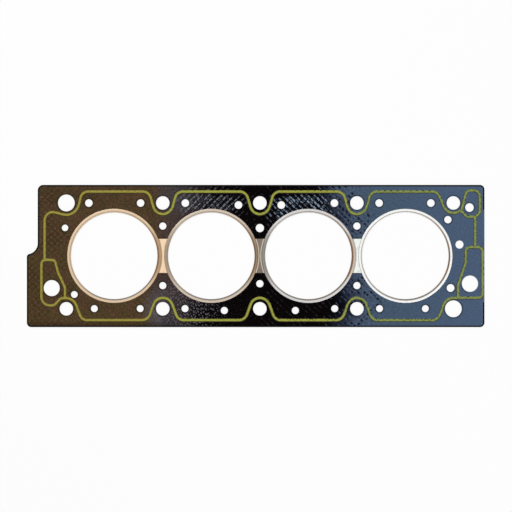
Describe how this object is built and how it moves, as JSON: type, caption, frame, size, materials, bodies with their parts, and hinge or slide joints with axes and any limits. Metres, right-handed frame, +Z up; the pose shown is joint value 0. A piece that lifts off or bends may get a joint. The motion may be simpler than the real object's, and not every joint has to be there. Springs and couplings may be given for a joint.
{
  "type": "cylinder head gasket",
  "caption": "Flat head gasket: dark faced laminate with rolled steel fire rings round the bores, punched bolt, oil and coolant holes, and a raised sealing bead on each face.",
  "frame": {"origin": "centre of the bore and bolt pattern, in the plane where the lower faces of the fire rings meet the block deck", "axes": "+X along the row of bores towards the end with the single oil feed hole, +Y across the row towards the edge that the picture shows at the top, +Z up through the sheet towards the cylinder head"},
  "size_m": [0.4572, 0.1421, 0.0018],
  "materials": {
    "core_steel": "satin",
    "facing": "satin black coating over a soft pressed facing",
    "ring_steel": "satin rolled sheet",
    "plate_steel": "bright rolled sheet",
    "bead": "printed olive-green elastomer"
  },
  "bodies": {
    "root": {"steel_core": "core_steel", "top_facing": "facing", "bottom_facing": "facing", "fire_ring_1": "ring_steel", "fire_ring_2": "ring_steel", "fire_ring_3": "ring_steel", "fire_ring_4": "ring_steel", "top_bridge_plate_1": "plate_steel", "top_bridge_plate_2": "plate_steel", "top_bridge_plate_3": "plate_steel", "bottom_bridge_plate_1": "plate_steel", "bottom_bridge_plate_2": "plate_steel", "bottom_bridge_plate_3": "plate_steel", "top_sealing_bead": "bead", "bottom_sealing_bead": "bead"}
  },
  "joints": []
}
